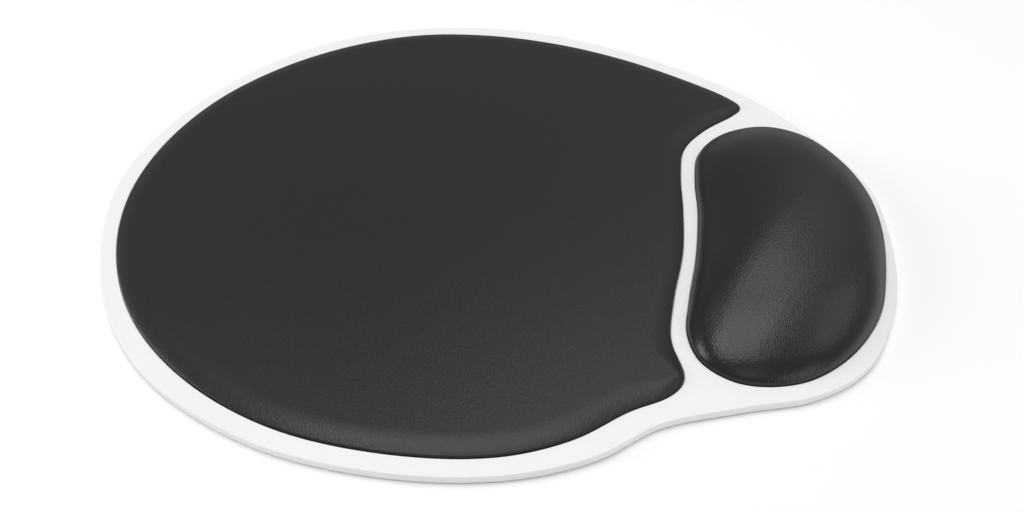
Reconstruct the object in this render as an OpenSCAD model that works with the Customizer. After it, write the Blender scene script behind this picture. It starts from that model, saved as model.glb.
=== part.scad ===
// Mouse mat and bean-shaped gel wrist rest carried on one shared moulded tray.
// Lengths are in millimetres. X runs from the mat towards the rest, Y runs away
// from the user's near edge, Z is up. The rubber feet stand on Z = 0.

/* [Tray] */
// Gap between the desk and the underside of the tray
foot_proud = 0.4; // [0.2:0.1:1.5]
// Height of the tray from its underside to the top of the rim
tray_h = 2.6; // [2.2:0.1:5]
// Depth of the pockets that locate the mat and the rest
pocket_depth = 1.1; // [0.5:0.1:2]
// Side play between a pocket wall and what sits in it
pocket_play = 0.25; // [0.1:0.05:0.6]
// Depth of the coring under the tray floor
core_depth = 0.5; // [0.3:0.1:1]
// Width of the solid band round the underside
land_w = 7; // [4:1:15]
// Width of each underside rib
rib_w = 1.2; // [0.8:0.1:3]
// Distance between underside ribs
rib_pitch = 28; // [15:1:60]

/* [Feet] */
// Radius of a rubber foot
foot_r = 7; // [4:0.5:12]
// Thickness of a rubber foot
foot_t = 1.2; // [0.8:0.1:3]
// Thickness of the tape that bonds a foot
foot_tape_t = 0.1; // [0.05:0.05:0.3]
// Width of the boss wall round a foot
foot_wall = 2.2; // [1:0.2:5]

/* [Mat] */
// Thickness of the adhesive sheets
glue_t = 0.15; // [0.05:0.05:0.4]
// Height of the mat's top face above the desk
mat_top = 4.7; // [3.6:0.1:8]
// Thickness of the mat's stretch cover
mat_skin = 0.35; // [0.2:0.05:1]

/* [Wrist rest] */
// Height of the top of the cushion above the desk
rest_top = 17; // [12:0.5:30]
// Height at which the upright side gives way to the crown
crown_base = 4.4; // [4:0.1:8]
// Thickness of the cushion's cover
cover_t = 0.9; // [0.5:0.1:2]
// Width of the hem tucked under the cushion
hem_w = 4; // [2:0.5:8]
// Thickness of the gel's film
film_t = 0.25; // [0.1:0.05:0.6]
// Scale of the outline where the foam layer stops and the gel starts
foam_split = 0.92; // [0.85:0.01:0.97]

/* [Hidden] */
// Hair gap kept between nested layers
gap = 0.05;
// Levels of the stack, measured from the desk
tray_top = foot_proud + tray_h;
pocket_z = tray_top - pocket_depth;
bed_z = pocket_z + glue_t;
hem_t = 0.7;
hem_top = bed_z + hem_t;
plate_step = hem_top + gap;
plate_top = plate_step + 0.8;
// Facets along each span of an outline
tray_steps = 6;
mat_steps = 4;
rest_steps = 4;
// Upright steps of the tray wall that round its edges: from, to, inset
wall_steps = [
  [0, 0.2, 0.25],
  [0.2, tray_h - 0.4, 0],
  [tray_h - 0.4, tray_h - 0.15, 0.12],
  [tray_h - 0.15, tray_h, 0.35]
];
// Rolled edge of the mat: inset from the side, drop below the top face
mat_roll = [
  [0, 1.3],
  [0.4, 0.85],
  [1.2, 0.5],
  [2.4, 0.25],
  [4, 0.09],
  [6.5, 0]
];
// Tips of the mat's two horns, where the rolled edge narrows to fit
mat_horns = [[90.5, 47.3], [50.8, -77.5]];
horn_room = 0.27;
horn_fade = 14.4;
mat_hub = [0.17, 0.57];
// Crown of the cushion: outline scales, centre, and the two shape powers
crown_scales = [0.97, 0.92, 0.85, 0.75, 0.62, 0.45, 0.24, 0.1];
crown_centre = [97, -14];
crown_pow_a = 2.2;
crown_pow_b = 1.7;
// Seats of the eight feet
foot_seats = [
  [-101, 2],
  [-68, 68],
  [4, 88],
  [76, 52],
  [107, -8],
  [84, -66],
  [6, -88],
  [-68, -68]
];

// Tray outline: a rounded mat end, a waist at the front and a bean end
tray_knots = [
  [125, -5],
  [122.4, 10],
  [116.3, 24],
  [107, 39],
  [95, 55],
  [75, 72.5],
  [46, 91],
  [12, 104],
  [-23, 107],
  [-56, 100],
  [-85, 82.5],
  [-108, 55],
  [-121, 27],
  [-125, 3],
  [-122, -21],
  [-112, -49.5],
  [-92, -76.5],
  [-60, -97],
  [-26, -105.8],
  [4, -106.4],
  [26, -101],
  [43, -91.6],
  [64, -86.8],
  [85, -82.8],
  [101, -73.6],
  [112, -58],
  [120, -39]
];
// Mat outline: follows the tray, then a wavy edge between two rounded tips
mat_knots = [
  [90.6, 48],
  [87.4, 53.8],
  [74.4, 65.2],
  [51.5, 80.8],
  [26.7, 92.5],
  [-1, 99.6],
  [-30, 100.2],
  [-57.6, 91.8],
  [-82.4, 76],
  [-102.4, 54],
  [-114.8, 27.6],
  [-119.2, 0],
  [-115, -28],
  [-102, -55.5],
  [-81.5, -77.3],
  [-55.5, -92.7],
  [-26.5, -100.2],
  [1, -101.2],
  [20, -96.3],
  [35, -87.8],
  [46.5, -82.7],
  [50.8, -77.5],
  [49.2, -64],
  [52.2, -48.8],
  [57.7, -29.5],
  [60.8, -9.5],
  [62.6, 7.5],
  [66.2, 23],
  [75, 34],
  [87.5, 43.8]
];
// Cushion outline: a bean with its hollow side facing the mat
rest_knots = [
  [121.4, -5],
  [117.5, 11],
  [108.2, 26.4],
  [95, 32.8],
  [80, 29],
  [70.8, 19.5],
  [67.4, 6],
  [65.6, -11],
  [61.5, -32],
  [56.8, -49],
  [54.2, -62],
  [56.6, -72],
  [65.6, -78.8],
  [81, -78.8],
  [95.6, -71],
  [109, -56],
  [117, -37],
  [121, -20]
];

function wrap(v, i) = v[(i + len(v)) % len(v)];

// Point on the centripetal Catmull-Rom span from b to c, u from 0 to 1
function span_point(a, b, c, d, u) =
  let (t1 = sqrt(norm(b - a)))
  let (t2 = t1 + sqrt(norm(c - b)))
  let (t3 = t2 + sqrt(norm(d - c)))
  let (t = t1 + (t2 - t1) * u)
  let (a1 = (a * (t1 - t) + b * t) / t1)
  let (a2 = (b * (t2 - t) + c * (t - t1)) / (t2 - t1))
  let (a3 = (c * (t3 - t) + d * (t - t2)) / (t3 - t2))
  let (b1 = (a1 * (t2 - t) + a2 * t) / t2)
  let (b2 = (a2 * (t3 - t) + a3 * (t - t1)) / (t3 - t1))
  (b1 * (t2 - t) + b2 * (t - t1)) / (t2 - t1);

// Smooth closed loop through the knots, counter-clockwise
function smooth_loop(knots, steps) = [
  for (i = [0 : len(knots) - 1])
    for (k = [0 : steps - 1])
      span_point(
        wrap(knots, i - 1),
        knots[i],
        wrap(knots, i + 1),
        wrap(knots, i + 2),
        k / steps
      )
];

function column(v, k) = [for (p = v) p[k]];
function mid(v) = (min(v) + max(v)) / 2;

// Loop moved inwards by d along its own normals
function inset(v, d) = [
  for (i = [0 : len(v) - 1])
    let (t = wrap(v, i + 1) - wrap(v, i - 1))
    v[i] + [-t.y, t.x] * d / norm(t)
];
// Share of the rolled edge's width that a point of the mat's side has room for
function reach(p) = min([
  1,
  for (h = mat_horns) horn_room + norm(p - h + origin) / horn_fade
]);
// Side of the mat moved inwards by t, and by the share of d that it has room for
function roll_loop(d, t) = [
  for (i = [0 : len(mat_loop) - 1])
    let (run = wrap(mat_loop, i + 1) - wrap(mat_loop, i - 1))
    let (by = t + d * reach(mat_loop[i]))
    mat_loop[i] + [-run.y, run.x] * by / norm(run)
];
function shift(v, by) = [for (p = v) p - by];
function shrink(v, centre, s) = [for (p = v) centre + (p - centre) * s];
function lift(v, z) = [for (p = v) [p.x, p.y, z]];
function flatten(v) = [for (p = v) [p.x, p.y]];
function flip(v) = [for (i = [len(v) - 1 : -1 : 0]) v[i]];
// Point of a level loop's span, as shares of its width and depth
function across(v, share) = min(v) + (max(v) - min(v)) * share;
function hub(v, shares) = [
  across(column(v, 0), shares.x),
  across(column(v, 1), shares.y),
  v[0].z
];

// The shared origin is the middle of the tray's outline
raw_tray = smooth_loop(tray_knots, tray_steps);
origin = [mid(column(raw_tray, 0)), mid(column(raw_tray, 1))];
tray_loop = shift(raw_tray, origin);
mat_loop = shift(smooth_loop(mat_knots, mat_steps), origin);
rest_loop = shift(smooth_loop(rest_knots, rest_steps), origin);
crown_mid = crown_centre - origin;

// Height of the crown at outline scale s, for a layer t below the cover's face
function crown_z(t, s) =
  crown_base + (rest_top - crown_base - t) * pow(1 - pow(s, crown_pow_a), 1 / crown_pow_b);
// Outline scale at which that layer reaches height z
function crown_s(t, z) =
  pow(1 - pow((z - crown_base) / (rest_top - crown_base - t), crown_pow_b), 1 / crown_pow_a);
function crown_ring(t, s) =
  lift(shrink(inset(rest_loop, t), crown_mid, s), crown_z(t, s));
// Rings of that layer from the scale s0 up to the small flat at its top
function crown_rings(t, s0) = concat(
  [crown_ring(t, s0)],
  [for (s = crown_scales) if (s < s0 - 0.005) crown_ring(t, s)]
);
// Rings of the mat's rolled edge for a layer t below the cover's face
function roll_rings(t) = [
  for (r = mat_roll)
    lift(roll_loop(r[0], t), mat_top - t - r[1])
];

// Solid skinned through rings of equal length. Each end is a flat fan of
// triangles round a hub that sees its whole outline, so that hollow sides stay open.
module ring_solid(rings, shares = [0.5, 0.5]) {
  n = len(rings[0]);
  last = len(rings) - 1;
  low_hub = n * len(rings);
  high_hub = low_hub + 1;
  sides = [
    for (i = [0 : last - 1])
      for (j = [0 : n - 1])
        for (half = [0, 1])
          let (a = i * n + j)
          let (b = i * n + (j + 1) % n)
          half == 0 ? [a, a + n, b + n] : [a, b + n, b]
  ];
  low_fan = [for (j = [0 : n - 1]) [j, (j + 1) % n, low_hub]];
  high_fan = [
    for (j = [0 : n - 1])
      [last * n + (j + 1) % n, last * n + j, high_hub]
  ];
  polyhedron(
    points = concat(
      [for (ring = rings) for (p = ring) p],
      [hub(rings[0], shares), hub(rings[last], shares)]
    ),
    faces = concat(low_fan, sides, high_fan)
  );
}

module slab(loop, z0, z1) {
  translate([0, 0, z0])
    linear_extrude(z1 - z0)
      polygon(loop);
}

module foot_disc(i, r, z0, z1) {
  at = foot_seats[i - 1];
  translate([at.x, at.y, z0])
    cylinder(r = r, h = z1 - z0, $fn = 48);
}

// Coring under the floor, leaving a land, ribs and foot bosses standing
module coring() {
  z1 = foot_proud + core_depth;
  difference() {
    slab(inset(tray_loop, land_w), foot_proud - 1, z1);
    for (k = [-4 : 4])
      translate([k * rib_pitch - rib_w / 2, -125, foot_proud - 2])
        cube([rib_w, 250, core_depth + 3]);
    for (k = [-3 : 3])
      translate([-140, k * rib_pitch - rib_w / 2, foot_proud - 2])
        cube([280, rib_w, core_depth + 3]);
    for (i = [1 : len(foot_seats)])
      foot_disc(i, foot_r + foot_wall, foot_proud - 2, z1 + 1);
  }
}

module base_tray() {
  color([0.88, 0.88, 0.88])
    difference() {
      union()
        for (w = wall_steps)
          slab(inset(tray_loop, w[2]), foot_proud + w[0], foot_proud + w[1]);
      slab(inset(mat_loop, -pocket_play), pocket_z, tray_top + 1);
      slab(inset(rest_loop, -pocket_play), pocket_z, tray_top + 1);
      coring();
      for (i = [1 : len(foot_seats)])
        foot_disc(i, foot_r + 0.15, foot_proud - 1, foot_t + foot_tape_t);
    }
}

module foot(i) {
  at = foot_seats[i - 1];
  color([0.16, 0.16, 0.17])
    translate([at.x, at.y, 0])
      rotate_extrude($fn = 48)
        polygon([[0, 0], [foot_r - 0.3, 0], [foot_r, 0.3], [foot_r, foot_t], [0, foot_t]]);
}

module foot_tape(i) {
  color([0.8, 0.78, 0.7])
    foot_disc(i, foot_r - 0.5, foot_t, foot_t + foot_tape_t);
}

module mat_glue() {
  color([0.8, 0.78, 0.7])
    slab(inset(mat_loop, 1), pocket_z, bed_z);
}

module mat_core() {
  t = mat_skin + gap;
  color([0.12, 0.12, 0.13])
    ring_solid(concat([lift(inset(mat_loop, t), bed_z)], roll_rings(t)), mat_hub);
}

module mat_cover() {
  color([0.2, 0.2, 0.21])
    ring_solid(concat(
      flip(roll_rings(mat_skin)),
      [lift(inset(mat_loop, mat_skin), bed_z), lift(mat_loop, bed_z)],
      roll_rings(0)
    ), mat_hub);
}

module rest_glue() {
  color([0.8, 0.78, 0.7])
    slab(inset(rest_loop, 1), pocket_z, bed_z);
}

// Stiff plate; its stepped edge clears the hem of the cover
module rest_plate() {
  color([0.3, 0.3, 0.31]) {
    slab(inset(rest_loop, cover_t + hem_w + gap), bed_z, plate_step);
    slab(inset(rest_loop, cover_t + gap), plate_step, plate_top);
  }
}

foam_t = cover_t + gap;
foam_top = crown_z(foam_t, foam_split);
module rest_foam() {
  color([0.6, 0.58, 0.5])
    ring_solid([
      lift(inset(rest_loop, foam_t), plate_top),
      crown_ring(foam_t, 1),
      crown_ring(foam_t, (1 + foam_split) / 2),
      crown_ring(foam_t, foam_split)
    ]);
}

// Gel bag: a flat film below and a domed film above, welded at their rims
film_z0 = foam_top + gap;
film_z1 = film_z0 + film_t;
module rest_film_base() {
  color([0.7, 0.75, 0.8])
    slab(flatten(crown_ring(foam_t, crown_s(foam_t, film_z1))), film_z0, film_z1);
}

module rest_film_top() {
  t = foam_t + film_t;
  z = film_z1 + gap / 2;
  color([0.7, 0.75, 0.8])
    ring_solid(concat(
      flip(crown_rings(t, crown_s(t, z))),
      crown_rings(foam_t, crown_s(foam_t, z))
    ));
}

module rest_gel() {
  t = foam_t + film_t + gap;
  color([0.45, 0.6, 0.8])
    ring_solid(crown_rings(t, crown_s(t, film_z1 + gap)));
}

module rest_cover() {
  color([0.18, 0.18, 0.19])
    ring_solid(concat(
      flip(crown_rings(cover_t, 1)),
      [
        lift(inset(rest_loop, cover_t), hem_top),
        lift(inset(rest_loop, cover_t + hem_w), hem_top),
        lift(inset(rest_loop, cover_t + hem_w), bed_z),
        lift(inset(rest_loop, 0.3), bed_z),
        lift(rest_loop, bed_z + 0.3)
      ],
      crown_rings(0, 1)
    ));
}

base_tray();
for (i = [1 : 8])
  foot(i);
for (i = [1 : 8])
  foot_tape(i);
mat_glue();
mat_core();
mat_cover();
rest_glue();
rest_plate();
rest_foam();
rest_film_base();
rest_gel();
rest_film_top();
rest_cover();
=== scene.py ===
"""Mouse mat with a bean-shaped gel wrist rest, both bedded in one thin moulded tray.

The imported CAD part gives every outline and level. This script builds the visible
skins round it: the tray with rounded edges, the knit-covered mat, the cushion
blown up by a short cloth simulation, and the grooved rubber feet.
"""

import logging
import math
from dataclasses import dataclass, field
from enum import Enum

import bmesh
import bpy
import numpy as np
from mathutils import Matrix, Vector


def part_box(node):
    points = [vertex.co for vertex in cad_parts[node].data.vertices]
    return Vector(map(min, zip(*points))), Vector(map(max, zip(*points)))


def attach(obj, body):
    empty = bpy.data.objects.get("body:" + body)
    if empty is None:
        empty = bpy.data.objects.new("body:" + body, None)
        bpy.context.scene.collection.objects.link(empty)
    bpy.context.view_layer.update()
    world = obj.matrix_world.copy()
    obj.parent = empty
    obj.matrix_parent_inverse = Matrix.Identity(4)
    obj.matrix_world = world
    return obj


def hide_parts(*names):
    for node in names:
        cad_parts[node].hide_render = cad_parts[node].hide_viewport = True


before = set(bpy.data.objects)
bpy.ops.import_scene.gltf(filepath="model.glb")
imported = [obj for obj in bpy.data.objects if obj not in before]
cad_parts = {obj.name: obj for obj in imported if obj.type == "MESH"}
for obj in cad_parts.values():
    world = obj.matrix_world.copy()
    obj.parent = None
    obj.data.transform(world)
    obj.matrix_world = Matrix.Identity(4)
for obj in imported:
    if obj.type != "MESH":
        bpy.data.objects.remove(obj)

LOG = logging.getLogger("wrist_rest")
MM = 0.001
BODY = "root"
FLAT_FACE = 0.99999
SHORTEST_LOOP = 8
QUILT_PITCH = 12 * MM
QUILT_OFFSET = 0.37
KNIT_STRETCH = (1.0, 0.62, 0.62)
LOOP_SHARE = 0.28
PUCKER_SHARE = 1.3


# --------------------------------------------------------------------------
# Outlines
# --------------------------------------------------------------------------


class Outline:
    """A closed counter-clockwise loop in the XY plane."""

    def __init__(self, points: np.ndarray) -> None:
        """Keeps the loop and turns it counter-clockwise.

        Args:
            points: (n, 2) array of metres.
        """
        self.points = np.asarray(points, float)
        if self.signed_area() < 0:
            self.points = self.points[::-1].copy()

    def signed_area(self) -> float:
        """Returns the area inside the loop, negative when it runs clockwise."""
        x, y = self.points.T
        return 0.5 * float(np.sum(x * np.roll(y, -1) - np.roll(x, -1) * y))

    def centroid(self) -> np.ndarray:
        """Returns the centre of the area inside the loop."""
        x, y = self.points.T
        nx, ny = np.roll(x, -1), np.roll(y, -1)
        cross = x * ny - nx * y
        area = cross.sum() / 2
        return np.array([((x + nx) * cross).sum(), ((y + ny) * cross).sum()]) / (6 * area)

    def resampled(self, count: int, substeps: int = 8) -> "Outline":
        """Smooth copy with evenly spaced points.

        Args:
            count: number of points in the copy.
            substeps: points tried along each span before spacing them out.

        Returns:
            The new outline, on a Catmull-Rom curve through the old points.
        """
        p0, p1, p2, p3 = (np.roll(self.points, k, axis=0) for k in (1, 0, -1, -2))
        dense = []
        for u in np.arange(substeps) / substeps:
            dense.append(
                0.5
                * (
                    2 * p1
                    + (p2 - p0) * u
                    + (2 * p0 - 5 * p1 + 4 * p2 - p3) * u**2
                    + (3 * p1 - p0 - 3 * p2 + p3) * u**3
                )
            )
        fine = np.stack(dense, axis=1).reshape(-1, 2)
        closed = np.vstack([fine, fine[:1]])
        along = np.r_[0, np.cumsum(np.linalg.norm(np.diff(closed, axis=0), axis=1))]
        at = np.linspace(0, along[-1], count, endpoint=False)
        spaced = [np.interp(at, along, closed[:, axis]) for axis in (0, 1)]
        return Outline(np.column_stack(spaced))

    def normals(self) -> np.ndarray:
        """Returns the inward unit normal at each point."""
        tangent = np.roll(self.points, -1, axis=0) - np.roll(self.points, 1, axis=0)
        inward = np.c_[-tangent[:, 1], tangent[:, 0]]
        return inward / np.linalg.norm(inward, axis=1)[:, None]

    def inset(self, distance: float) -> "Outline":
        """Returns the loop moved inwards by a small distance, or outwards if negative."""
        return Outline(self.points + self.normals() * distance)

    def softened(self, passes: int) -> "Outline":
        """Returns a rounder copy of the same area, drawn towards its own neighbours."""
        points = self.points
        for _ in range(passes):
            points = (np.roll(points, 1, axis=0) + 2 * points + np.roll(points, -1, axis=0)) / 4
        loop = Outline(points)
        return loop.shrunk(loop.centroid(), math.sqrt(self.signed_area() / loop.signed_area()))

    def mixed(self, other: "Outline", share: float) -> "Outline":
        """Returns the loop drawn towards another one of the same length."""
        return Outline(self.points * (1 - share) + other.points * share)

    def shrunk(self, centre: np.ndarray, scale: float) -> "Outline":
        """Returns the loop scaled about a centre."""
        return Outline(centre + (self.points - centre) * scale)

    def at(self, z: float) -> np.ndarray:
        """Returns the loop as (n, 3) points at a height."""
        return np.c_[self.points, np.full(len(self.points), z)]


def min_distance(points: np.ndarray, marks: np.ndarray) -> np.ndarray:
    """Returns the distance from each point to the nearest mark."""
    return np.linalg.norm(points[:, None] - marks[None], axis=2).min(axis=1)


def cad_outline(node: str, level: float, count: int, tolerance: float = 3e-6) -> Outline:
    """Outer loop of a CAD node at a height, taken from the edges of its side faces.

    Args:
        node: name of the CAD node.
        level: height above the desk, in metres.
        count: number of points wanted.
        tolerance: how far from the level a corner may lie.

    Returns:
        The loop that encloses the largest area, smoothed and evenly spaced.
    """
    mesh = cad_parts[node].data
    places = [tuple(np.round(v.co, 6)) for v in mesh.vertices]
    links: dict[tuple, set] = {}
    for face in mesh.polygons:
        if abs(face.normal.z) > FLAT_FACE:
            continue
        for a, b in face.edge_keys:
            pa, pb = places[a], places[b]
            if pa != pb and abs(pa[2] - level) < tolerance and abs(pb[2] - level) < tolerance:
                links.setdefault(pa, set()).add(pb)
                links.setdefault(pb, set()).add(pa)
    loops, unseen = [], set(links)
    while unseen:
        start = min(unseen)
        loop, here = [start], start
        unseen.discard(start)
        while True:
            onward = sorted(p for p in links[here] if p in unseen)
            if not onward:
                break
            here = onward[0]
            unseen.discard(here)
            loop.append(here)
        if len(loop) > SHORTEST_LOOP:
            loops.append(Outline(np.array(loop)[:, :2]))
    if not loops:
        raise ValueError(f"{node} has no side edges at {level:.6f} m")
    return max(loops, key=lambda o: abs(o.signed_area())).resampled(count)


# --------------------------------------------------------------------------
# Mesh building
# --------------------------------------------------------------------------


def make_object(name: str, verts: np.ndarray, faces: list[tuple[int, ...]]) -> bpy.types.Object:
    """Makes a mesh object in the scene.

    Args:
        name: name of the object and its mesh.
        verts: (n, 3) array of metres.
        faces: corner indices of each face.

    Returns:
        The new object.
    """
    mesh = bpy.data.meshes.new(name)
    mesh.from_pydata([tuple(map(float, v)) for v in verts], [], faces)
    mesh.validate()
    mesh.update()
    piece = bpy.data.objects.new(name, mesh)
    bpy.context.scene.collection.objects.link(piece)
    return piece


def loft(name: str, rings: list[np.ndarray], caps: bool = True) -> bpy.types.Object:
    """Skins a closed solid through rings of equal length.

    Args:
        name: name of the object.
        rings: (n, 3) rings, counter-clockwise from above, from the first cap to the last.
        caps: whether the first and last ring are closed with a flat face.

    Returns:
        The new object.
    """
    n = len(rings[0])
    faces: list[tuple[int, ...]] = []
    if caps:
        faces.append(tuple(range(n - 1, -1, -1)))
    for i in range(len(rings) - 1):
        low, high = i * n, (i + 1) * n
        faces += [(low + j, low + (j + 1) % n, high + (j + 1) % n, high + j) for j in range(n)]
    if caps:
        last = (len(rings) - 1) * n
        faces.append(tuple(last + j for j in range(n)))
    return make_object(name, np.vstack(rings), faces)


def lathe(
    name: str, centre: Vector, profile: list[tuple[float, float]], count: int
) -> bpy.types.Object:
    """Turns a profile round an upright axis.

    Args:
        name: name of the object.
        centre: point on the axis that the profile's heights count from.
        profile: (radius, height) pairs; the first and last become flat caps.
        count: number of facets round the axis.

    Returns:
        The new object.
    """
    turn = np.linspace(0, 2 * math.pi, count, endpoint=False)
    rings = [
        np.c_[
            centre.x + r * np.cos(turn),
            centre.y + r * np.sin(turn),
            np.full(count, centre.z + h),
        ]
        for r, h in profile
    ]
    return loft(name, rings)


def slab(name: str, outline: Outline, low: float, high: float) -> bpy.types.Object:
    """Returns an upright-sided plate between two heights."""
    return loft(name, [outline.at(low), outline.at(high)])


def box(
    name: str, low: tuple[float, float, float], high: tuple[float, float, float]
) -> bpy.types.Object:
    """Returns an upright box between two corners, for use as a cutter."""
    (x0, y0, z0), (x1, y1, z1) = low, high
    square = np.array([[x0, y0], [x1, y0], [x1, y1], [x0, y1]])
    return slab(name, Outline(square), z0, z1)


def apply_modifiers(piece: bpy.types.Object) -> None:
    """Bakes an object's modifiers into its mesh."""
    graph = bpy.context.evaluated_depsgraph_get()
    made = bpy.data.meshes.new_from_object(piece.evaluated_get(graph))
    old = piece.data
    piece.modifiers.clear()
    piece.data = made
    made.name = piece.name
    bpy.data.meshes.remove(old)


def quilt(piece: bpy.types.Object, pitch: float) -> None:
    """Splits a piece's large faces along an upright grid, so that none wraps round a hole.

    Args:
        piece: the object.
        pitch: distance between the grid's planes, in metres.
    """
    work = bmesh.new()
    work.from_mesh(piece.data)
    for axis in (0, 1):
        across = [v.co[axis] for v in work.verts]
        first, last = math.ceil(min(across) / pitch), math.floor(max(across) / pitch)
        side = Vector((1 - axis, axis, 0))
        for k in range(first, last + 1):
            everything = list(work.verts) + list(work.edges) + list(work.faces)
            place = side * (k + QUILT_OFFSET) * pitch
            bmesh.ops.bisect_plane(work, geom=everything, dist=1e-8, plane_co=place, plane_no=side)
    bmesh.ops.triangulate(work, faces=[f for f in work.faces if len(f.verts) > 4])
    work.to_mesh(piece.data)
    work.free()


def carve(piece: bpy.types.Object, cutters: list[bpy.types.Object]) -> None:
    """Cuts solids out of a piece and removes the cutters.

    Args:
        piece: the solid that is cut.
        cutters: the solids that are taken away from it.
    """
    for cutter in cutters:
        cut = piece.modifiers.new("cut", "BOOLEAN")
        cut.operation = "DIFFERENCE"
        cut.solver = "MANIFOLD"
        cut.object = cutter
    apply_modifiers(piece)
    for cutter in cutters:
        bpy.data.objects.remove(cutter)


def polish(piece: bpy.types.Object, crease: float = 32.0, weighted: bool = True) -> None:
    """Shades a piece smooth except along creases.

    Args:
        piece: the object to shade.
        crease: angle between faces, in degrees, above which an edge stays sharp.
        weighted: whether large flat faces keep their own normal.
    """
    work = bmesh.new()
    work.from_mesh(piece.data)
    bmesh.ops.remove_doubles(work, verts=work.verts, dist=1e-7)
    bmesh.ops.dissolve_degenerate(work, edges=work.edges, dist=1e-7)
    bmesh.ops.recalc_face_normals(work, faces=work.faces)
    for face in work.faces:
        face.smooth = True
    for edge in work.edges:
        edge.smooth = edge.calc_face_angle(0.0) < math.radians(crease)
    work.to_mesh(piece.data)
    work.free()
    if weighted:
        fair = piece.modifiers.new("flat faces lead", "WEIGHTED_NORMAL")
        fair.keep_sharp = True
        fair.weight = 100


# --------------------------------------------------------------------------
# Finishes
# --------------------------------------------------------------------------


class Weave(Enum):
    """Cloth constructions, as rows per column of the stitch."""

    MAT_KNIT = 0.8
    REST_KNIT = 1.1


def socket(
    group: bpy.types.NodeTree, name: str, way: str, kind: str, value: float | None = None
) -> None:
    """Adds one named input or output to a node group.

    Args:
        group: the node group.
        name: name of the socket.
        way: "INPUT" or "OUTPUT".
        kind: socket type, such as "NodeSocketFloat".
        value: default of a number input.
    """
    made = group.interface.new_socket(name=name, in_out=way, socket_type=kind)
    if value is not None:
        made.default_value = value


class NodeDesk:
    """Short calls for placing and joining nodes in one node tree."""

    def __init__(self, tree: bpy.types.NodeTree) -> None:
        """Keeps the tree.

        Args:
            tree: the node tree to work in.
        """
        self.tree = tree

    def add(self, kind: str, **settings: object) -> bpy.types.Node:
        """Places a node and sets its properties.

        Args:
            kind: Blender's node type.
            **settings: properties of the node.

        Returns:
            The node.
        """
        node = self.tree.nodes.new(kind)
        for key, value in settings.items():
            setattr(node, key, value)
        return node

    def feed(self, source: object, target: bpy.types.NodeSocket) -> None:
        """Joins an output to an input, or sets the input to a plain value."""
        if isinstance(source, bpy.types.NodeSocket):
            self.tree.links.new(source, target)
        else:
            target.default_value = source

    def maths(
        self, operation: str, a: object, b: object = 0.0, clamp: bool = False
    ) -> bpy.types.NodeSocket:
        """Places a Math node.

        Args:
            operation: Blender's name of the operation.
            a: first socket or number.
            b: second socket or number.
            clamp: whether the result is kept between 0 and 1.

        Returns:
            The node's output.
        """
        node = self.add("ShaderNodeMath", operation=operation, use_clamp=clamp)
        self.feed(a, node.inputs[0])
        self.feed(b, node.inputs[1])
        return node.outputs[0]

    def noise(
        self, place: object, scale: float, detail: float = 2.0, rough: float = 0.5
    ) -> bpy.types.NodeSocket:
        """Places a 3-D noise.

        Args:
            place: vector socket.
            scale: waves per metre.
            detail: number of finer octaves.
            rough: share of the finer octaves.

        Returns:
            The noise's value, from 0 to 1.
        """
        node = self.add("ShaderNodeTexNoise", noise_dimensions="3D")
        self.feed(place, node.inputs["Vector"])
        node.inputs["Scale"].default_value = scale
        node.inputs["Detail"].default_value = detail
        node.inputs["Roughness"].default_value = rough
        return node.outputs["Fac"]

    def spread(self, value: object, low: float, high: float) -> bpy.types.NodeSocket:
        """Returns a value from 0..1 mapped onto low..high."""
        node = self.add("ShaderNodeMapRange")
        self.feed(value, node.inputs["Value"])
        node.inputs["To Min"].default_value = low
        node.inputs["To Max"].default_value = high
        return node.outputs["Result"]

    def tint(self, factor: object, dark: tuple, light: tuple) -> bpy.types.NodeSocket:
        """Returns a colour between two, by a factor."""
        node = self.add("ShaderNodeMix", data_type="RGBA")
        self.feed(factor, node.inputs["Factor"])
        node.inputs["A"].default_value = (*dark, 1)
        node.inputs["B"].default_value = (*light, 1)
        return node.outputs["Result"]


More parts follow.
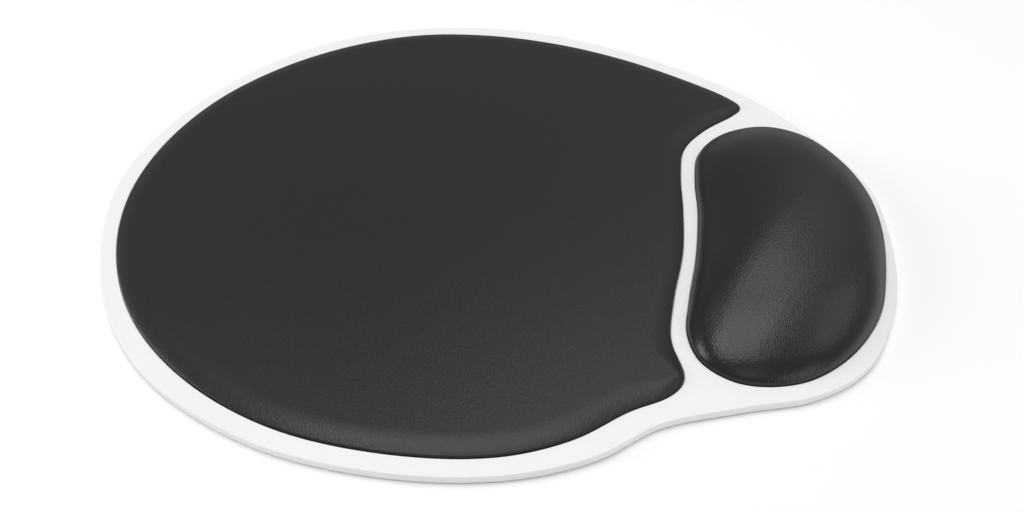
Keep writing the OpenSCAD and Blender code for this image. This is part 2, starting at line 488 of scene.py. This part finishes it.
class SharedEffects:
    """The shader node groups that several finishes use, each built once."""

    def __init__(self) -> None:
        """Builds the groups."""
        self.knit = self._knit()
        self.grain = self._grain()
        self.dust = self._dust()

    def _group(self, name: str) -> tuple[bpy.types.NodeTree, NodeDesk, bpy.types.Node, bpy.types.Node]:
        """Returns a new group with its desk, input node and output node."""
        tree = bpy.data.node_groups.new(name, "ShaderNodeTree")
        desk = NodeDesk(tree)
        return tree, desk, desk.add("NodeGroupInput"), desk.add("NodeGroupOutput")

    def _knit(self) -> bpy.types.NodeTree:
        """Knit columns with slanted stitches; gives a height, a painted shade that darkens the stitch
        valleys, and a pile mask.
        """
        tree, desk, enter, leave = self._group("knit stitches")
        socket(tree, "Place", "INPUT", "NodeSocketVector")
        socket(tree, "Columns per metre", "INPUT", "NodeSocketFloat", 1600.0)
        socket(tree, "Rows per column", "INPUT", "NodeSocketFloat", 0.8)
        socket(tree, "Unevenness", "INPUT", "NodeSocketFloat", 0.5)
        for name in ("Height", "Painted Shade", "Pile"):
            socket(tree, name, "OUTPUT", "NodeSocketFloat")
        place = enter.outputs["Place"]
        split = desk.add("ShaderNodeSeparateXYZ")
        desk.feed(place, split.inputs[0])
        wander = desk.maths("SUBTRACT", desk.noise(place, 900, 2), 0.5)
        drift = desk.maths("MULTIPLY", wander, enter.outputs["Unevenness"])
        turns = desk.maths("MULTIPLY", enter.outputs["Columns per metre"], math.pi)
        across = desk.maths("ADD", desk.maths("MULTIPLY", split.outputs["X"], turns), drift)
        lift = desk.maths("MULTIPLY", split.outputs["Z"], turns)
        ahead = desk.maths("ADD", desk.maths("MULTIPLY", split.outputs["Y"], turns), lift)
        rows = desk.maths("MULTIPLY", ahead, enter.outputs["Rows per column"])
        column = desk.maths("ABSOLUTE", desk.maths("SINE", across))
        slant = desk.maths("MULTIPLY", desk.maths("ABSOLUTE", desk.maths("COSINE", across)), 1.6)
        stitch = desk.maths("SINE", desk.maths("ADD", desk.maths("MULTIPLY", rows, 2.0), slant))
        yarn = desk.spread(stitch, 0.62, 1.0)
        yarn.node.inputs["From Min"].default_value = -1.0
        stretch = desk.add("ShaderNodeVectorMath", operation="MULTIPLY")
        desk.feed(place, stretch.inputs[0])
        stretch.inputs[1].default_value = KNIT_STRETCH
        pucker = desk.noise(stretch.outputs[0], 1750, 1)
        loops = desk.maths("MULTIPLY", desk.maths("MULTIPLY", column, yarn), LOOP_SHARE)
        height = desk.maths("ADD", loops, desk.maths("MULTIPLY", pucker, PUCKER_SHARE))
        pile = desk.noise(place, 260, 4, 0.6)
        desk.feed(height, leave.inputs["Height"])
        # Painted shade: the colour factor follows the stitch height, darker where the stitches lie low
        # and lighter on their crests.
        desk.feed(desk.spread(height, 0.6, 1.3), leave.inputs["Painted Shade"])
        desk.feed(pile, leave.inputs["Pile"])
        return tree

    def _grain(self) -> bpy.types.NodeTree:
        """Fine spark-etched texture of a moulded face; gives a height and a mottle."""
        tree, desk, enter, leave = self._group("moulded grain")
        socket(tree, "Place", "INPUT", "NodeSocketVector")
        socket(tree, "Grain per metre", "INPUT", "NodeSocketFloat", 2500.0)
        for name in ("Height", "Mottle"):
            socket(tree, name, "OUTPUT", "NodeSocketFloat")
        place = enter.outputs["Place"]
        fine = desk.add("ShaderNodeTexNoise", noise_dimensions="3D")
        desk.feed(place, fine.inputs["Vector"])
        desk.feed(enter.outputs["Grain per metre"], fine.inputs["Scale"])
        fine.inputs["Detail"].default_value = 2.0
        desk.feed(fine.outputs["Fac"], leave.inputs["Height"])
        desk.feed(desk.noise(place, 45, 3, 0.6), leave.inputs["Mottle"])
        return tree

    def _dust(self) -> bpy.types.NodeTree:
        """Sparse specks of lint; gives a mask."""
        tree, desk, enter, leave = self._group("lint specks")
        socket(tree, "Place", "INPUT", "NodeSocketVector")
        socket(tree, "Amount", "INPUT", "NodeSocketFloat", 0.3)
        socket(tree, "Mask", "OUTPUT", "NodeSocketFloat")
        specks = desk.noise(enter.outputs["Place"], 1400, 3, 0.7)
        patches = desk.noise(enter.outputs["Place"], 30, 2)
        sharp = desk.spread(specks, 0.0, 1.0)
        sharp.node.inputs["From Min"].default_value = 0.66
        sharp.node.inputs["From Max"].default_value = 0.78
        mask = desk.maths("MULTIPLY", desk.maths("MULTIPLY", sharp, patches), enter.outputs["Amount"])
        desk.feed(mask, leave.inputs["Mask"])
        return tree


@dataclass(frozen=True)
class Finish:
    """What every finish has: a name, two close colours and a roughness span."""

    name: str
    dark: tuple[float, float, float]
    light: tuple[float, float, float]
    rough_low: float
    rough_high: float
    specular: float = 0.5
    relief: float = 0.02 * MM

    def start(self) -> tuple[bpy.types.Material, NodeDesk, bpy.types.Node, bpy.types.NodeSocket]:
        """Returns a fresh material with its desk, its Principled shader and object coordinates."""
        material = bpy.data.materials.new(self.name)
        material.use_nodes = True
        desk = NodeDesk(material.node_tree)
        shader = next(n for n in material.node_tree.nodes if n.type == "BSDF_PRINCIPLED")
        shader.inputs["Specular IOR Level"].default_value = self.specular
        return material, desk, shader, desk.add("ShaderNodeTexCoord").outputs["Object"]

    def relieve(self, desk: NodeDesk, shader: bpy.types.Node, height: object) -> None:
        """Feeds a height through a Bump node to the shader's normal.

        Args:
            desk: desk of the material.
            shader: the Principled shader.
            height: height socket.
        """
        bump = desk.add("ShaderNodeBump")
        bump.inputs["Strength"].default_value = 1.0
        bump.inputs["Distance"].default_value = self.relief
        desk.feed(height, bump.inputs["Height"])
        desk.feed(bump.outputs["Normal"], shader.inputs["Normal"])


@dataclass(frozen=True)
class KnitFinish(Finish):
    """Stretch knit over foam or gel."""

    weave: Weave = Weave.MAT_KNIT
    columns: float = 1600.0
    fuzz: float = 0.5
    fuzz_power: float = 2.5
    unevenness: float = 1.4
    lint: float = 0.12

    def build(self, effects: SharedEffects) -> bpy.types.Material:
        """Builds the material.

        Args:
            effects: the shared node groups.

        Returns:
            The material.
        """
        material, desk, shader, place = self.start()
        knit = desk.add("ShaderNodeGroup", node_tree=effects.knit)
        desk.feed(place, knit.inputs["Place"])
        knit.inputs["Columns per metre"].default_value = self.columns
        knit.inputs["Rows per column"].default_value = self.weave.value
        knit.inputs["Unevenness"].default_value = self.unevenness
        lint = desk.add("ShaderNodeGroup", node_tree=effects.dust)
        desk.feed(place, lint.inputs["Place"])
        lint.inputs["Amount"].default_value = self.lint
        pile = desk.spread(knit.outputs["Pile"], 0.85, 1.1)
        # Painted shade of the stitch relief (darker valleys, lighter crests), times the random pile
        # tone; lint specks are added after.
        shade = desk.maths("MULTIPLY", knit.outputs["Painted Shade"], pile)
        mix = desk.maths("ADD", shade, lint.outputs["Mask"], clamp=True)
        base = desk.tint(mix, self.dark, self.light)
        desk.feed(base, shader.inputs["Base Color"])
        facing = desk.add("ShaderNodeLayerWeight")
        facing.inputs["Blend"].default_value = 0.5
        turned = desk.maths("POWER", facing.outputs["Facing"], self.fuzz_power)
        rough = desk.spread(knit.outputs["Height"], self.rough_high, self.rough_low)
        fuzz = desk.maths("MULTIPLY", turned, self.fuzz)
        desk.feed(desk.maths("ADD", rough, fuzz, clamp=True), shader.inputs["Roughness"])
        self.relieve(desk, shader, knit.outputs["Height"])
        return material


@dataclass(frozen=True)
class MouldedFinish(Finish):
    """Satin moulded plastic, rubber, foam, film or gel."""

    grain: float = 2500.0
    dusty: float = 0.0
    clear: float = 0.0

    def build(self, effects: SharedEffects) -> bpy.types.Material:
        """Builds the material.

        Args:
            effects: the shared node groups.

        Returns:
            The material.
        """
        material, desk, shader, place = self.start()
        skin = desk.add("ShaderNodeGroup", node_tree=effects.grain)
        desk.feed(place, skin.inputs["Place"])
        skin.inputs["Grain per metre"].default_value = self.grain
        lint = desk.add("ShaderNodeGroup", node_tree=effects.dust)
        desk.feed(place, lint.inputs["Place"])
        lint.inputs["Amount"].default_value = self.dusty
        mix = desk.maths("ADD", skin.outputs["Mottle"], lint.outputs["Mask"], clamp=True)
        desk.feed(desk.tint(mix, self.dark, self.light), shader.inputs["Base Color"])
        rough = desk.spread(skin.outputs["Mottle"], self.rough_low, self.rough_high)
        desk.feed(rough, shader.inputs["Roughness"])
        shader.inputs["Transmission Weight"].default_value = self.clear
        self.relieve(desk, shader, skin.outputs["Height"])
        return material


def grey(value: float, warm: float = 0.0) -> tuple[float, float, float]:
    """Returns a near-neutral linear colour, a little warmer or cooler if asked."""
    return (value * (1 + warm), value, value * (1 - warm))


TRAY_PLASTIC = MouldedFinish("satin white plastic", grey(0.85), grey(0.88), 0.42, 0.55, 0.4)
FOOT_RUBBER = MouldedFinish(
    "black foot rubber",
    grey(0.02),
    grey(0.034),
    0.65,
    0.85,
    0.35,
    relief=0.04 * MM,
    grain=1800.0,
    dusty=0.5,
)
BOND_TAPE = MouldedFinish("bonding tape", grey(0.55, 0.06), grey(0.62, 0.06), 0.5, 0.7, 0.4)
MAT_RUBBER = MouldedFinish("mat foam rubber", grey(0.018), grey(0.03), 0.8, 0.95, 0.3, relief=0.08 * MM)
PLATE_PLASTIC = MouldedFinish("black plate plastic", grey(0.03), grey(0.04), 0.45, 0.6)
REST_FOAM = MouldedFinish(
    "cushion foam", grey(0.5, 0.08), grey(0.6, 0.08), 0.85, 0.95, 0.3, relief=0.1 * MM, grain=900.0
)
FILM = MouldedFinish("clear gel film", (0.7, 0.76, 0.82), (0.78, 0.82, 0.86), 0.12, 0.22, clear=0.7)
GEL = MouldedFinish("blue gel", (0.3, 0.45, 0.7), (0.36, 0.5, 0.74), 0.08, 0.16, clear=0.5)
MAT_KNIT = KnitFinish(
    "fine black mat knit", grey(0.0045), grey(0.0125), 0.31, 0.41, 0.36, relief=0.045 * MM
)
REST_KNIT = KnitFinish(
    "black stretch knit",
    grey(0.004),
    grey(0.012),
    0.23,
    0.31,
    0.39,
    relief=0.05 * MM,
    weave=Weave.REST_KNIT,
)


class Wardrobe:
    """Builds each finish once and dresses pieces in it."""

    def __init__(self) -> None:
        """Builds the shared effects."""
        self.effects = SharedEffects()
        self.built: dict[str, bpy.types.Material] = {}

    def dress(self, piece: bpy.types.Object, finish: Finish) -> None:
        """Gives a piece one finish.

        Args:
            piece: the object.
            finish: the finish that it gets.
        """
        if finish.name not in self.built:
            self.built[finish.name] = finish.build(self.effects)
        material = self.built[finish.name]
        if piece.data.materials:
            for k in range(len(piece.data.materials)):
                piece.data.materials[k] = material
        else:
            piece.data.materials.append(material)


# --------------------------------------------------------------------------
# Sub-assemblies
# --------------------------------------------------------------------------


def arc_offsets(radius: float, steps: int) -> list[tuple[float, float]]:
    """Quarter round from an upright wall to a level face.

    Args:
        radius: radius of the round.
        steps: number of chords.

    Returns:
        (inset, rise) pairs, both from 0 to the radius.
    """
    angles = [math.pi / 2 * k / steps for k in range(steps + 1)]
    return [(radius * (1 - math.cos(a)), radius * math.sin(a)) for a in angles]


@dataclass
class Tray:
    """The shared moulded tray, with two pockets above and coring below."""

    points: int = 540
    top_round: float = 0.35 * MM
    bottom_round: float = 0.25 * MM
    lip_round: float = 0.22 * MM
    pocket_depth: float = 1.1 * MM
    core_depth: float = 0.5 * MM
    land: float = 7 * MM
    rib: float = 1.2 * MM
    rib_pitch: float = 28 * MM
    boss_wall: float = 2.2 * MM
    seat_play: float = 0.15 * MM
    pocket_play: float = 0.25 * MM
    glue_margin: float = 1 * MM
    below_top: float = 0.4 * MM
    rib_reach: float = 140 * MM
    overshoot: float = 1 * MM
    turned_facets: int = 64
    low: float = field(init=False)
    high: float = field(init=False)

    def __post_init__(self) -> None:
        """Reads the tray's levels from the frame."""
        lowest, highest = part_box("base_tray")
        self.low, self.high = lowest.z, highest.z

    def _outline(self) -> Outline:
        """Returns the tray's side, taken a little below its top face."""
        return cad_outline("base_tray", self.high - self.below_top, self.points)

    def _blank(self) -> bpy.types.Object:
        """Returns the solid plate with its edges rounded."""
        outline = self._outline()
        foot, shoulder = self.low + self.bottom_round, self.high - self.top_round
        rings = [outline.inset(i).at(foot - r) for i, r in reversed(arc_offsets(self.bottom_round, 3))]
        rings += [outline.inset(i).at(shoulder + r) for i, r in arc_offsets(self.top_round, 6)]
        return loft("tray_shell", rings)

    def _pocket(self, name: str, outline: Outline) -> bpy.types.Object:
        """Returns the cutter of a pocket, flared at the lip so that the lip comes out rounded."""
        floor, lip = self.high - self.pocket_depth, self.high - self.lip_round
        rings = [outline.at(floor)]
        rings += [outline.inset(-i).at(lip + r) for i, r in arc_offsets(self.lip_round, 4)]
        rings.append(outline.inset(-self.lip_round).at(self.high + self.overshoot))
        return loft(name, rings)

    def _seat(self, k: int) -> tuple[Vector, float]:
        """Returns the middle and the radius of foot k."""
        lowest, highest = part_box(f"foot_{k}")
        return (lowest + highest) / 2, (highest.x - lowest.x) / 2

    def _coring(self, outline: Outline) -> bpy.types.Object:
        """Returns the cutter of the underside coring, with ribs and bosses already taken out."""
        below, top = self.low - self.overshoot, self.low + self.core_depth
        core = slab("coring", outline.inset(self.land), below, top)
        keep, reach, half = [], self.rib_reach, self.rib / 2
        low, high = below - self.overshoot, top + self.overshoot
        for k in range(-4, 5):
            x = k * self.rib_pitch
            keep.append(box(f"rib_x{k}", (x - half, -reach, low), (x + half, reach, high)))
        low, high = low - self.overshoot, high + self.overshoot
        for k in range(-3, 4):
            y = k * self.rib_pitch
            keep.append(box(f"rib_y{k}", (-reach, y - half, low), (reach, y + half, high)))
        for k in range(1, 9):
            centre, radius = self._seat(k)
            centre.z = below
            wall = [(radius + self.boss_wall, -3 * MM), (radius + self.boss_wall, 6 * MM)]
            keep.append(lathe(f"boss_{k}", centre, wall, self.turned_facets))
        carve(core, keep)
        return core

    def build(self, wardrobe: Wardrobe) -> bpy.types.Object:
        """Builds and dresses the tray.

        Args:
            wardrobe: the finishes.

        Returns:
            The tray.
        """
        tray = self._blank()
        mat_side = cad_outline("mat_glue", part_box("mat_glue")[0].z, 480)
        rest_side = cad_outline("rest_glue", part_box("rest_glue")[0].z, 300)
        margin = self.glue_margin + self.pocket_play
        cutters = [
            self._pocket("mat_pocket", mat_side.inset(-margin)),
            self._pocket("rest_pocket", rest_side.inset(-margin)),
            self._coring(self._outline()),
        ]
        for k in range(1, 9):
            centre, radius = self._seat(k)
            centre.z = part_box(f"foot_tape_{k}")[1].z
            hole = [(radius + self.seat_play, -4 * MM), (radius + self.seat_play, 0.0)]
            cutters.append(lathe(f"seat_{k}", centre, hole, self.turned_facets))
        carve(tray, cutters)
        quilt(tray, QUILT_PITCH)
        polish(tray)
        wardrobe.dress(tray, TRAY_PLASTIC)
        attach(tray, BODY)
        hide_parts("base_tray")
        return tray


@dataclass
class Feet:
    """Eight rubber feet with a shallow grip groove."""

    count: int = 8
    groove_depth: float = 0.15 * MM
    groove_inside: float = 0.5
    groove_outside: float = 0.66
    middle: float = 0.6 * MM
    edge: float = 0.3 * MM
    facets: int = 72

    def build(self, wardrobe: Wardrobe) -> list[bpy.types.Object]:
        """Builds and dresses the feet.

        Args:
            wardrobe: the finishes.

        Returns:
            The feet.
        """
        feet = []
        for k in range(1, self.count + 1):
            node = f"foot_{k}"
            lowest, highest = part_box(node)
            centre = (lowest + highest) / 2
            centre.z = lowest.z
            radius, height = (highest.x - lowest.x) / 2, highest.z - lowest.z
            inside, outside = radius * self.groove_inside, radius * self.groove_outside
            deep = self.groove_depth
            profile = [(self.middle, 0.0), (inside, 0.0), (inside + deep, deep)]
            profile += [(outside - deep, deep), (outside, 0.0)]
            profile += [(radius - self.edge + r, i) for i, r in arc_offsets(self.edge, 4)]
            profile += [(radius, height), (self.middle, height)]
            foot = lathe(f"rubber_foot_{k}", centre, profile, self.facets)
            polish(foot, crease=40)
            wardrobe.dress(foot, FOOT_RUBBER)
            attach(foot, BODY)
            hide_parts(node)
            feet.append(foot)
        return feet


@dataclass
class MouseMat:
    """The knit-covered mousing surface with its rolled edge."""

    points: int = 720
    skin: float = 0.15 * MM
    side_depth: float = 1.3 * MM
    hem_edge: float = 0.1 * MM
    horns: tuple[tuple[float, float], ...] = ((90.5 * MM, 47.3 * MM), (50.8 * MM, -77.5 * MM))
    horn_room: float = 0.27
    horn_fade: float = 14.4 * MM
    roll_width: float = 6.5 * MM
    roll_drop: float = 1.25 * MM
    roll_steps: int = 14
    roll_start: float = 0.046
    corner: tuple[tuple[float, float], ...] = ((0.0, 1.5), (0.03, 1.36), (0.12, 1.235))

    def _profile(self) -> list[tuple[float, float]]:
        """Returns (inset, drop) pairs: a tight corner, then a long easy curve to the top face."""
        pairs = [(i * MM, d * MM) for i, d in self.corner]
        for share in np.linspace(self.roll_start, 1.0, self.roll_steps):
            pairs.append((share * self.roll_width, self.roll_drop * (1 - share) ** 2))
        return pairs

    def _reach(self, points: np.ndarray) -> np.ndarray:
        """Returns the share of the roll's width that each point of the side has room for."""
        nearest = min_distance(points, np.array(self.horns))
        return np.minimum(1.0, self.horn_room + nearest / self.horn_fade)

    def _rings(self, side: Outline, top: float, layer: float) -> list[np.ndarray]:
        """Rings of the rolled edge, from the side to the top face.

        Args:
            side: outline of the mat.
            top: height of the mat's top face.
            layer: how far below the outer face the rings lie.

        Returns:
            (n, 3) rings.
        """
        inward, room = side.normals(), self._reach(side.points)[:, None]
        rings = []
        for inset, drop in self._profile():
            moved = side.points + inward * (layer + inset * room)
            rings.append(np.c_[moved, np.full(len(moved), top - layer - drop)])
        return rings

    def build(self, wardrobe: Wardrobe) -> bpy.types.Object:
        """Builds and dresses the mat's cover.

        Args:
            wardrobe: the finishes.

        Returns:
            The cover.
        """
        lowest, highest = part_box("mat_cover")
        side = cad_outline("mat_cover", highest.z - self.side_depth, self.points)
        outer = self._rings(side, highest.z, 0.0)
        inner = self._rings(side, highest.z, self.skin)
        hem = [
            side.inset(self.skin).at(lowest.z),
            side.inset(self.hem_edge).at(lowest.z),
            side.at(lowest.z + self.hem_edge),
        ]
        cover = loft("mat_skin", inner[::-1] + hem + outer)
        quilt(cover, QUILT_PITCH)
        polish(cover)
        wardrobe.dress(cover, MAT_KNIT)
        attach(cover, BODY)
        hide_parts("mat_cover")
        return cover


@dataclass
class WristRest:
    """The bean cushion: a knit bag, blown up against its hem by a short cloth run."""

    points: int = 168
    rings: int = 22
    crown_base: float = 3.6 * MM
    power_a: float = 2.2
    power_b: float = 1.7
    hem: float = 4 * MM
    crown_span: float = 0.93
    corner: float = 0.45 * MM
    softening: int = 300
    softening_power: float = 3.0
    skin: float = 0.4 * MM
    skin_offset: float = -0.7
    slack: float = 0.96
    pressure: float = 30.0
    cap: float = 0.4 * MM
    sag: float = 0.1 * MM
    frames: int = 20

    def _crown_centre(self, side: Outline) -> np.ndarray:
        """Returns the point that the crown's contours shrink to, from the CAD's small flat top."""
        top = cad_outline("rest_cover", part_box("rest_cover")[1].z, 72)
        share = math.sqrt(top.signed_area() / side.signed_area())
        return (top.centroid() - share * side.centroid()) / (1 - share)

    def _rise(self, share: float) -> float:
        """Returns the crown's height, from 0 to 1, at an outline scale."""
        return (1 - share**self.power_a) ** (1 / self.power_b)

    def _bag(self) -> tuple[bpy.types.Object, int]:
        """Builds the outer face, open under the cushion.

        Returns:
            The object and the number of rings, from the hem up, that stay put.
        """
        lowest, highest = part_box("rest_cover")
        side = cad_outline("rest_cover", lowest.z + 0.3 * MM, self.points)
        centre = self._crown_centre(side)
        rings = [side.inset(self.hem).at(lowest.z), side.inset(self.hem / 2).at(lowest.z)]
        for inset, rise in arc_offsets(self.corner, 4):
            rings.append(side.inset(self.corner - rise).at(lowest.z + inset))
        rings.append(side.at((lowest.z + self.corner + self.crown_base) / 2))
        fixed = len(rings)
        tall = highest.z - self.crown_base
        round_side = side.softened(self.softening)
        for k in range(self.rings + 1):
            share = math.sin(math.pi / 2 * (1 - k / self.rings * self.crown_span))
            mixed = side.mixed(round_side, (1 - share) ** self.softening_power)
            loop = mixed.shrunk(centre, share)
            rings.append(loop.at(self.crown_base + tall * self._rise(share)))
        return self._capped(rings, centre, highest.z), fixed

    def _capped(self, rings: list[np.ndarray], centre: np.ndarray, top: float) -> bpy.types.Object:
        """Returns the bag with its last ring closed by a fan, its first ring left open."""
        bag = loft("rest_skin", rings, caps=False)
        n, last = self.points, (len(rings) - 1) * self.points
        work = bmesh.new()
        work.from_mesh(bag.data)
        apex = work.verts.new((centre[0], centre[1], top))
        work.verts.ensure_lookup_table()
        for j in range(n):
            work.faces.new((work.verts[last + j], work.verts[last + (j + 1) % n], apex))
        work.to_mesh(bag.data)
        work.free()
        return bag

    def _inflate(self, bag: bpy.types.Object, fixed: int) -> None:
        """Lets the bag swell under pressure, within a cap, and keeps the result.

        Args:
            bag: the cushion's outer face.
            fixed: number of rings, from the hem up, that stay put.
        """
        goal = np.array([v.co for v in bag.data.vertices])
        start = goal.copy()
        free = slice(fixed * self.points, None)
        start[free, 2] = self.crown_base + (goal[free, 2] - self.crown_base) * self.slack
        bag.data.vertices.foreach_set("co", start.astype(np.float32).ravel())
        pinned = bag.vertex_groups.new(name="pinned")
        pinned.add(list(range(fixed * self.points)), 1.0, "REPLACE")
        cloth = bag.modifiers.new("cloth", "CLOTH")
        how = cloth.settings
        how.vertex_group_mass = pinned.name
        how.quality = 6
        how.mass = 0.002
        how.tension_stiffness = how.compression_stiffness = 6
        how.shear_stiffness = 3
        how.bending_stiffness = 0.2
        how.air_damping = 4
        how.use_pressure = True
        how.uniform_pressure_force = self.pressure
        how.effector_weights.gravity = 0.0
        cloth.collision_settings.use_collision = False
        cloth.point_cache.frame_start, cloth.point_cache.frame_end = 1, self.frames
        scene = bpy.context.scene
        scene.frame_start, scene.frame_end = 1, self.frames
        for step in range(1, self.frames + 1):
            scene.frame_set(step)
        swollen = bag.evaluated_get(bpy.context.evaluated_depsgraph_get()).to_mesh()
        blown = np.array([v.co for v in swollen.vertices])
        bag.modifiers.clear()
        scene.frame_set(1)
        bag.data.vertices.foreach_set("co", goal.astype(np.float32).ravel())
        bag.data.update()
        out = np.array([v.normal for v in bag.data.vertices])
        move = blown - goal
        swell = (move * out).sum(axis=1)[:, None]
        LOG.info("cushion swell %.2f to %.2f mm", swell.min() / MM, swell.max() / MM)
        slide = move - swell * out
        length = np.linalg.norm(slide, axis=1)[:, None]
        slide *= np.minimum(1.0, self.cap / np.maximum(length, 1e-9))
        limit = np.where(swell > 0, self.cap, self.sag)
        held = goal + slide + out * limit * np.tanh(swell / limit)
        held[: fixed * self.points] = goal[: fixed * self.points]
        bag.data.vertices.foreach_set("co", held.astype(np.float32).ravel())
        bag.data.update()

    def build(self, wardrobe: Wardrobe) -> bpy.types.Object:
        """Builds and dresses the cushion.

        Args:
            wardrobe: the finishes.

        Returns:
            The cushion's cover.
        """
        bag, fixed = self._bag()
        self._inflate(bag, fixed)
        smooth = bag.modifiers.new("finer", "SUBSURF")
        smooth.levels = smooth.render_levels = 1
        wall = bag.modifiers.new("cloth thickness", "SOLIDIFY")
        wall.thickness = self.skin
        wall.offset = self.skin_offset
        apply_modifiers(bag)
        polish(bag, crease=60, weighted=False)
        wardrobe.dress(bag, REST_KNIT)
        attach(bag, BODY)
        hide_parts("rest_cover")
        return bag


@dataclass
class HiddenLayers:
    """The CAD nodes inside the mat and the cushion, which keep their shapes."""

    finishes: dict[str, Finish] = field(
        default_factory=lambda: {
            "mat_glue": BOND_TAPE,
            "mat_core": MAT_RUBBER,
            "rest_glue": BOND_TAPE,
            "rest_plate": PLATE_PLASTIC,
            "rest_foam": REST_FOAM,
            "rest_film_base": FILM,
            "rest_film_top": FILM,
            "rest_gel": GEL,
        }
    )

    def build(self, wardrobe: Wardrobe) -> list[bpy.types.Object]:
        """Dresses the layers.

        Args:
            wardrobe: the finishes.

        Returns:
            The CAD nodes that were dressed.
        """
        tapes = {f"foot_tape_{k}": BOND_TAPE for k in range(1, 9)}
        dressed = []
        for name, finish in {**self.finishes, **tapes}.items():
            wardrobe.dress(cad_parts[name], finish)
            dressed.append(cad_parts[name])
        return dressed


# --------------------------------------------------------------------------
# Studio
# --------------------------------------------------------------------------


@dataclass(frozen=True)
class Softbox:
    """One square lamp on a dome round the object, facing its middle."""

    name: str
    azimuth: float
    elevation: float
    size: float
    watts: float
    reach: float = 1.0

    def light(self) -> bpy.types.Object:
        """Returns the lamp, placed and aimed; azimuth 0 is the near side, 90 the right."""
        turn, tilt = math.radians(self.azimuth), math.radians(self.elevation)
        level = math.cos(tilt)
        out = Vector((math.sin(turn) * level, -math.cos(turn) * level, math.sin(tilt)))
        lamp = bpy.data.lights.new(self.name, "AREA")
        lamp.shape = "SQUARE"
        lamp.size = self.size
        lamp.energy = self.watts
        holder = bpy.data.objects.new(self.name, lamp)
        holder.location = out * self.reach
        holder.rotation_euler = (-out).to_track_quat("-Z", "Y").to_euler()
        bpy.context.scene.collection.objects.link(holder)
        return holder


@dataclass
class Studio:
    """White sweep, soft light and the camera."""

    target: tuple[float, float, float] = (2.35 * MM, -27.6 * MM, 0.0)
    distance: float = 265.4 * MM
    elevation: float = 44.0
    focal: float = 30.23
    shift: float = 0.011
    sky: float = 0.32
    floor_half: float = 3.0
    floor_gap: float = 0.02 * MM
    lamps: tuple[Softbox, ...] = (
        Softbox("overhead", 0, 90, 0.6, 2.7),
        Softbox("left low", 270, 20, 0.5, 3.3),
        Softbox("front", 0, 42, 0.5, 0.6),
        Softbox("front right low", 45, 16, 0.5, 1.0),
        Softbox("right", 90, 42, 0.5, 0.8),
        Softbox("right back", 135, 42, 0.5, 0.3),
        Softbox("arc 1", 110, 72, 0.25, 0.3),
        Softbox("arc 2", 135, 62, 0.25, 0.36),
        Softbox("arc 3", 155, 56, 0.2, 0.28),
        Softbox("arc 4", 175, 62, 0.2, 0.29),
        Softbox("arc 5", 195, 72, 0.2, 0.24),
        Softbox("arc 6", 225, 56, 0.25, 0.23),
        Softbox("arc 7", 262, 70, 0.2, 0.6),
        Softbox("arc 8", 300, 66, 0.2, 0.46),
    )

    def _floor(self) -> bpy.types.Object:
        """Returns the plain pale floor."""
        half = self.floor_half
        square = Outline(np.array([[-half, -half], [half, -half], [half, half], [-half, half]]))
        floor = make_object("floor", square.at(-self.floor_gap), [(0, 1, 2, 3)])
        material = bpy.data.materials.new("pale sweep")
        material.use_nodes = True
        shader = next(n for n in material.node_tree.nodes if n.type == "BSDF_PRINCIPLED")
        shader.inputs["Base Color"].default_value = (0.97, 0.97, 0.97, 1)
        shader.inputs["Roughness"].default_value = 0.9
        shader.inputs["Specular IOR Level"].default_value = 0.0
        floor.data.materials.append(material)
        return floor

    def _sky(self) -> None:
        """Fills the surroundings with even white light."""
        world = bpy.data.worlds.new("studio")
        bpy.context.scene.world = world
        world.use_nodes = True
        ground = next(n for n in world.node_tree.nodes if n.type == "BACKGROUND")
        ground.inputs["Color"].default_value = (1, 1, 1, 1)
        ground.inputs["Strength"].default_value = self.sky

    def _camera(self) -> None:
        """Places the camera in front of and above the near edge."""
        data = bpy.data.cameras.new("camera")
        data.sensor_width = 36.0
        data.lens = self.focal
        data.shift_x = self.shift
        data.clip_start, data.clip_end = 0.01, 20.0
        camera = bpy.data.objects.new("camera", data)
        tilt = math.radians(self.elevation)
        back = Vector((0.0, -math.cos(tilt), math.sin(tilt)))
        camera.location = Vector(self.target) + back * self.distance
        camera.rotation_euler = (math.pi / 2 - tilt, 0.0, 0.0)
        bpy.context.scene.collection.objects.link(camera)
        bpy.context.scene.camera = camera

    def build(self) -> None:
        """Sets up floor, light, camera and plain colour handling."""
        self._floor()
        self._sky()
        for lamp in self.lamps:
            lamp.light()
        self._camera()
        bpy.context.scene.view_settings.view_transform = "Standard"


def main() -> None:
    """Builds everything in order and reports each piece."""
    logging.basicConfig(level=logging.INFO, format="%(message)s")
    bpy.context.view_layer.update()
    wardrobe = Wardrobe()
    Studio().build()
    for maker in (HiddenLayers(), Tray(), Feet(), MouseMat(), WristRest()):
        made = maker.build(wardrobe)
        for piece in made if isinstance(made, list) else [made]:
            LOG.info("%s: %d faces", piece.name, len(piece.data.polygons))


if __name__ == "__main__":
    main()
